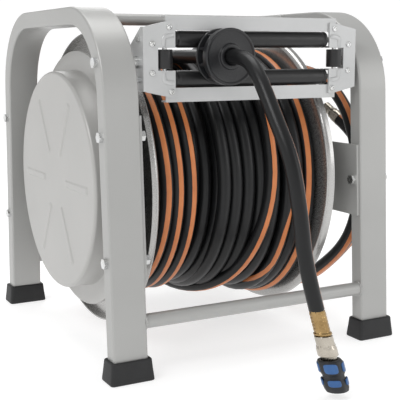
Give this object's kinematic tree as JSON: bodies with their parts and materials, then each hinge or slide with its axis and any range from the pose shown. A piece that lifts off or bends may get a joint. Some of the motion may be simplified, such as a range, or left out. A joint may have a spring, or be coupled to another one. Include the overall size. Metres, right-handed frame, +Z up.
{
  "type": "hose reel",
  "caption": "Free-standing open spring-rewind hose reel: two arched tube frames, a wide flanged drum wound with rubber hose, a four-roller hose guide and a hose stop.",
  "frame": {"origin": "centre of the footprint of the two frames, on the floor", "axes": "+Z up; +X along the drum axis from the spring housing to the water swivel; -Y is the front, where the hose comes out"},
  "size_m": [0.4755, 0.6824, 0.5],
  "materials": {
    "frame_paint": "silver-grey powder coat, fine texture, semi-gloss",
    "case_paint": "light warm grey powder coat, satin",
    "drum_paint": "light grey powder coat, semi-gloss",
    "guide_sheet": "silver paint over sheet steel, satin",
    "zinc": "bright zinc plate",
    "steel": "machined steel, lightly oiled",
    "brass": "turned brass",
    "nickel": "satin nickel plate",
    "roller_plastic": "black nylon, satin",
    "stopper_rubber": "black moulded rubber, satin",
    "foot_rubber": "black moulded rubber, matt",
    "hose_rubber": "black rubber hose cover with an orange stripe, satin",
    "grip_plastic": "black moulded grip with blue inserts",
    "seal_rubber": "black nitrile"
  },
  "bodies": {
    "frame": {"left_frame": "frame_paint", "right_frame": "frame_paint", "foot_front_left": "foot_rubber", "foot_front_right": "foot_rubber", "foot_rear_left": "foot_rubber", "foot_rear_right": "foot_rubber", "front_lower_bar": "frame_paint", "rear_lower_bar": "frame_paint", "top_bar": "frame_paint", "left_mount_plate": "frame_paint", "right_hub_plate": "frame_paint", "left_bearing": "brass", "right_bearing": "brass", "spring_case_back": "case_paint", "spring_case_cover": "case_paint", "mainspring": "steel", "pawl_pin": "zinc", "pawl_spring": "steel", "frame_bolts": "zinc", "frame_nuts": "zinc", "guide_spacers": "zinc", "guide_bracket_left": "guide_sheet", "guide_bracket_right": "guide_sheet", "guide_top_rail": "guide_sheet", "guide_bottom_rail": "guide_sheet", "guide_screws": "zinc", "roller_axles": "zinc", "side_roller_axles": "zinc", "swivel_body": "nickel", "swivel_seal": "seal_rubber", "lead_hose": "hose_rubber", "hanging_hose": "hose_rubber", "supply_hose": "hose_rubber", "stopper_rear": "stopper_rubber", "stopper_front": "stopper_rubber", "hose_ferrule": "brass", "coupling_body": "nickel", "coupling_seal": "seal_rubber", "supply_tail": "brass", "supply_fitting": "nickel"},
    "drum": {"drum_core": "drum_paint", "left_flange": "drum_paint", "right_flange": "drum_paint", "left_hub": "steel", "right_hub": "steel", "drum_shaft": "steel", "inlet_pipe": "brass", "spring_arbor": "steel", "ratchet_wheel": "steel", "tie_bolts": "zinc", "hose_pack": "hose_rubber"},
    "top_roller": {"top_roller": "roller_plastic"},
    "bottom_roller": {"bottom_roller": "roller_plastic"},
    "left_side_roller": {"left_side_roller": "roller_plastic"},
    "right_side_roller": {"right_side_roller": "roller_plastic"},
    "pawl": {"pawl": "steel"},
    "coupling_sleeve": {"coupling_sleeve": "grip_plastic"}
  },
  "joints": [
    {"name": "drum_spin", "type": "hinge", "parent": "frame", "child": "drum", "pos_m": [0, 0, 0.246], "axis": [1, 0, 0], "continuous": true},
    {"name": "top_roller_spin", "type": "hinge", "parent": "frame", "child": "top_roller", "pos_m": [0, -0.207, 0.4545], "axis": [1, 0, 0], "continuous": true},
    {"name": "bottom_roller_spin", "type": "hinge", "parent": "frame", "child": "bottom_roller", "pos_m": [0, -0.207, 0.4015], "axis": [1, 0, 0], "continuous": true},
    {"name": "left_side_roller_spin", "type": "hinge", "parent": "frame", "child": "left_side_roller", "pos_m": [-0.138, -0.213, 0.428], "axis": [0, 0, 1], "continuous": true},
    {"name": "right_side_roller_spin", "type": "hinge", "parent": "frame", "child": "right_side_roller", "pos_m": [0.138, -0.213, 0.428], "axis": [0, 0, 1], "continuous": true},
    {"name": "pawl_lift", "type": "hinge", "parent": "frame", "child": "pawl", "pos_m": [-0.176, 0.046, 0.326], "axis": [1, 0, 0], "range_deg": [-22, 0], "stiffness_Nm_per_rad": 0.02, "springref_deg": 20.05},
    {"name": "coupling_slide", "type": "slide", "parent": "frame", "child": "coupling_sleeve", "axis": [-0.2492, 0.0797, 0.9652], "range_m": [0, 0.004], "stiffness_N_per_m": 400, "springref_m": -0.004}
  ]
}
